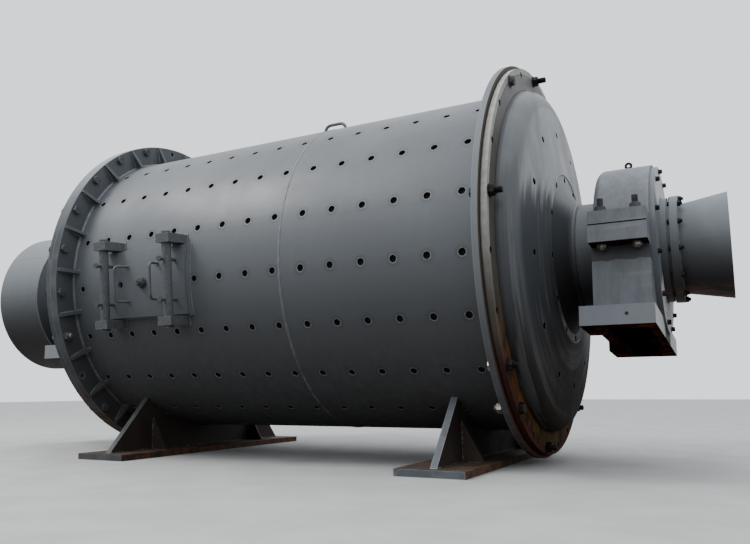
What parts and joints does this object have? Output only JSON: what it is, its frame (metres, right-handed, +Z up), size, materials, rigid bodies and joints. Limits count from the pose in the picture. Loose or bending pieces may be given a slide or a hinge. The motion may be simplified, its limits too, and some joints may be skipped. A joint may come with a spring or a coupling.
{
  "type": "ball mill",
  "caption": "Bolted grinding drum with dished heads, hollow trunnions in split bearings, a drum feeder and a flared mouth, on two saddles.",
  "frame": {"origin": "on the ground below the middle of the mill's length, under the mill axis", "axes": "+X along the mill axis towards the discharge mouth, +Z up, the view side with the manhole towards -Y"},
  "size_m": [5.594, 2.4949, 2.4999],
  "materials": {
    "paint": "satin blue-grey paint, dusty, rusted at welds and edges",
    "cradle_steel": "dark primed plate with rusty edges",
    "bare_steel": "bare steel, dull",
    "bronze": "machined bearing bronze"
  },
  "bodies": {
    "mill": {"shell_feed_front": "paint", "shell_feed_bottom": "paint", "shell_feed_rear": "paint", "shell_feed_top": "paint", "shell_discharge_front": "paint", "shell_discharge_bottom": "paint", "shell_discharge_rear": "paint", "shell_discharge_top": "paint", "girth_weld": "paint", "gear_flange": "paint", "gear_flange_gussets": "paint", "discharge_flange": "paint", "feed_head": "paint", "discharge_head": "paint", "feed_trunnion": "paint", "discharge_trunnion": "paint", "feeder_neck": "paint", "feeder_drum": "paint", "feeder_inlet_plate": "paint", "discharge_mouth": "paint", "manhole_frame": "paint", "manhole_door": "paint", "door_handles": "paint", "clamp_lugs": "paint", "clamp_bars": "paint", "clamp_screws": "bare_steel", "lifting_loop": "paint", "feed_cradle_base": "cradle_steel", "feed_cradle_saddle": "cradle_steel", "feed_cradle_gussets": "cradle_steel", "discharge_cradle_base": "cradle_steel", "discharge_cradle_saddle": "cradle_steel", "discharge_cradle_gussets": "cradle_steel"},
    "feed_bearing": {"feed_bearing_base": "paint", "feed_bearing_cap": "paint", "feed_bush_lower": "bronze", "feed_bush_upper": "bronze", "feed_seal_cover": "paint"},
    "discharge_bearing": {"discharge_bearing_base": "paint", "discharge_bearing_cap": "paint", "discharge_bush_lower": "bronze", "discharge_bush_upper": "bronze", "discharge_seal_cover": "paint"}
  },
  "joints": [
    {"name": "feed_trunnion_turn", "type": "hinge", "parent": "mill", "child": "feed_bearing", "pos_m": [-1.972, 0, 1.265], "axis": [1, 0, 0], "continuous": true},
    {"name": "discharge_trunnion_turn", "type": "hinge", "parent": "mill", "child": "discharge_bearing", "pos_m": [2.262, 0, 1.265], "axis": [1, 0, 0], "continuous": true}
  ]
}
